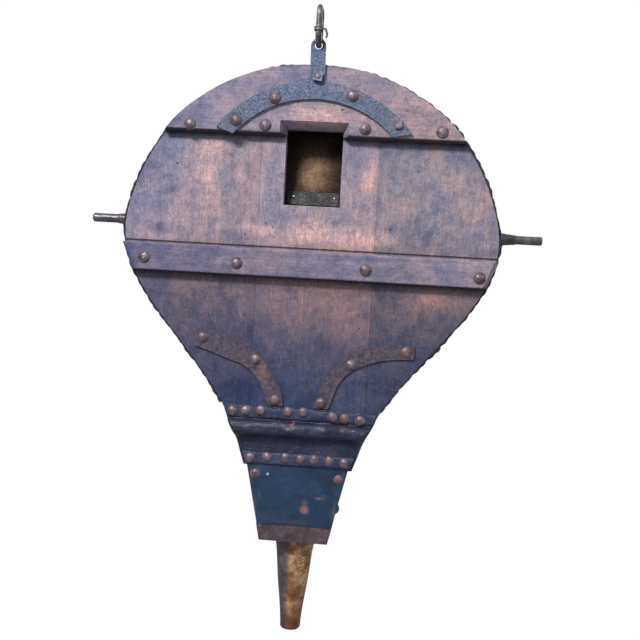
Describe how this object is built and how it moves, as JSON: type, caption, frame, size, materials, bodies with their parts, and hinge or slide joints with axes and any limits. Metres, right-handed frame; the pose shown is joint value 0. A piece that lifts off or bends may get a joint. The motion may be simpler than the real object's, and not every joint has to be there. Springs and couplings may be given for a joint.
{
  "type": "forge bellows",
  "caption": "Double-chamber blacksmith's bellows: three hinged wooden boards, leather folds, valve flaps, iron straps, trunnion pins and a tapered nozzle.",
  "frame": {"origin": "midpoint of the two trunnion pins, on the middle board's mid-plane", "axes": "+Z along the bellows from nozzle to tail, +X along the trunnion pins, -Y towards the pump board with the intake hole"},
  "size_m": [0.964, 0.378, 1.2815],
  "materials": {
    "pump_wood": "old worn elm board, faded mauve-brown stain",
    "inner_wood": "unpainted board, dusty",
    "top_wood": "old worn elm board",
    "nail_iron": "hand-forged, brown rust",
    "dark_iron": "pitted wrought iron",
    "rusty_iron": "rusty wrought iron",
    "blue_paint": "flaking dark blue paint on sheet iron",
    "leather": "dry cracked bellows leather",
    "flap_leather": "sueded valve leather"
  },
  "bodies": {
    "middle": {"middle_plank_left": "inner_wood", "middle_plank_centre": "inner_wood", "middle_plank_right": "inner_wood", "middle_edge_strip": "leather", "middle_edge_nails": "nail_iron", "trunnion_left": "dark_iron", "trunnion_right": "dark_iron", "nose_block": "inner_wood", "nose_cover": "blue_paint", "nose_cover_nails": "nail_iron", "nose_end_band": "rusty_iron", "nose_band_tacks": "nail_iron", "nozzle": "rusty_iron", "front_hinge_leather": "leather", "back_hinge_leather": "leather", "front_nose_strip": "leather", "back_nose_strip": "leather", "nose_row_nails": "nail_iron", "front_skirt": "leather", "back_skirt": "leather", "delivery_stop_strap": "leather"},
    "pump_board": {"pump_plank_left": "pump_wood", "pump_plank_centre": "pump_wood", "pump_plank_right": "pump_wood", "pump_tail_cleat": "pump_wood", "pump_cross_batten": "pump_wood", "pump_dome_nails": "nail_iron", "lift_bracket": "dark_iron", "bracket_bolt": "dark_iron", "bracket_nut": "dark_iron", "broken_bolt_stub": "dark_iron", "arc_strap_left": "rusty_iron", "arc_strap_right": "rusty_iron", "arc_strap_nails": "nail_iron", "pump_hinge_strip": "leather", "pump_hinge_nails": "nail_iron", "pump_edge_strip": "leather", "pump_edge_nails": "nail_iron", "inlet_stop_strap": "leather", "inlet_hinge_strip": "leather"},
    "top_board": {"top_plank_left": "top_wood", "top_plank_centre": "top_wood", "top_plank_right": "top_wood", "top_tail_cleat": "top_wood", "top_cross_batten": "top_wood", "top_dome_nails": "nail_iron", "top_edge_strip": "leather", "top_edge_nails": "nail_iron", "top_hinge_strip": "leather", "top_hinge_nails": "nail_iron"},
    "inlet_flap": {"inlet_flap_board": "inner_wood", "inlet_flap_leather": "flap_leather"},
    "delivery_flap": {"delivery_flap_board": "inner_wood", "delivery_flap_leather": "flap_leather"},
    "front_rib_inner": {"front_rib_inner": "inner_wood"},
    "front_rib_outer": {"front_rib_outer": "inner_wood"},
    "back_rib_inner": {"back_rib_inner": "inner_wood"},
    "back_rib_outer": {"back_rib_outer": "inner_wood"},
    "lifting_ring": {"ring_link": "dark_iron", "wire_tie": "dark_iron"}
  },
  "joints": [
    {"name": "pump_board_hinge", "type": "hinge", "parent": "middle", "child": "pump_board", "pos_m": [0, -0.06, -0.419], "axis": [1, 0, 0], "range_deg": [-1.5, 15], "deforming": ["front_skirt", "front_hinge_leather"]},
    {"name": "top_board_hinge", "type": "hinge", "parent": "middle", "child": "top_board", "pos_m": [0, 0.06, -0.419], "axis": [-1, 0, 0], "range_deg": [-4.5, 12], "deforming": ["back_skirt", "back_hinge_leather"]},
    {"name": "front_rib_inner_hinge", "type": "hinge", "parent": "middle", "child": "front_rib_inner", "pos_m": [0, -0.06, -0.419], "axis": [1, 0, 0], "range_deg": [-0.6, 5.1]},
    {"name": "front_rib_outer_hinge", "type": "hinge", "parent": "middle", "child": "front_rib_outer", "pos_m": [0, -0.06, -0.419], "axis": [1, 0, 0], "range_deg": [-1.1, 10.1]},
    {"name": "back_rib_inner_hinge", "type": "hinge", "parent": "middle", "child": "back_rib_inner", "pos_m": [0, 0.06, -0.419], "axis": [-1, 0, 0], "range_deg": [-1.6, 4.1]},
    {"name": "back_rib_outer_hinge", "type": "hinge", "parent": "middle", "child": "back_rib_outer", "pos_m": [0, 0.06, -0.419], "axis": [-1, 0, 0], "range_deg": [-3.1, 8.1]},
    {"name": "inlet_flap_hinge", "type": "hinge", "parent": "pump_board", "child": "inlet_flap", "pos_m": [0, -0.0783, 0.03112], "axis": [1, 0, 0], "range_deg": [0, 17], "deforming": ["inlet_hinge_strip"]},
    {"name": "delivery_flap_hinge", "type": "hinge", "parent": "middle", "child": "delivery_flap", "pos_m": [0, 0.02, 0.009], "axis": [1, 0, 0], "range_deg": [0, 14]},
    {"name": "lifting_ring_swing", "type": "hinge", "parent": "pump_board", "child": "lifting_ring", "pos_m": [0, -0.15818, 0.34756], "axis": [1, 0, 0], "range_deg": [-12, 20]}
  ],
  "couplings": [
    {"joint": "front_rib_inner_hinge", "follows": "pump_board_hinge", "ratio": 0.33333},
    {"joint": "front_rib_outer_hinge", "follows": "pump_board_hinge", "ratio": 0.66667},
    {"joint": "back_rib_inner_hinge", "follows": "top_board_hinge", "ratio": 0.33333},
    {"joint": "back_rib_outer_hinge", "follows": "top_board_hinge", "ratio": 0.66667}
  ]
}
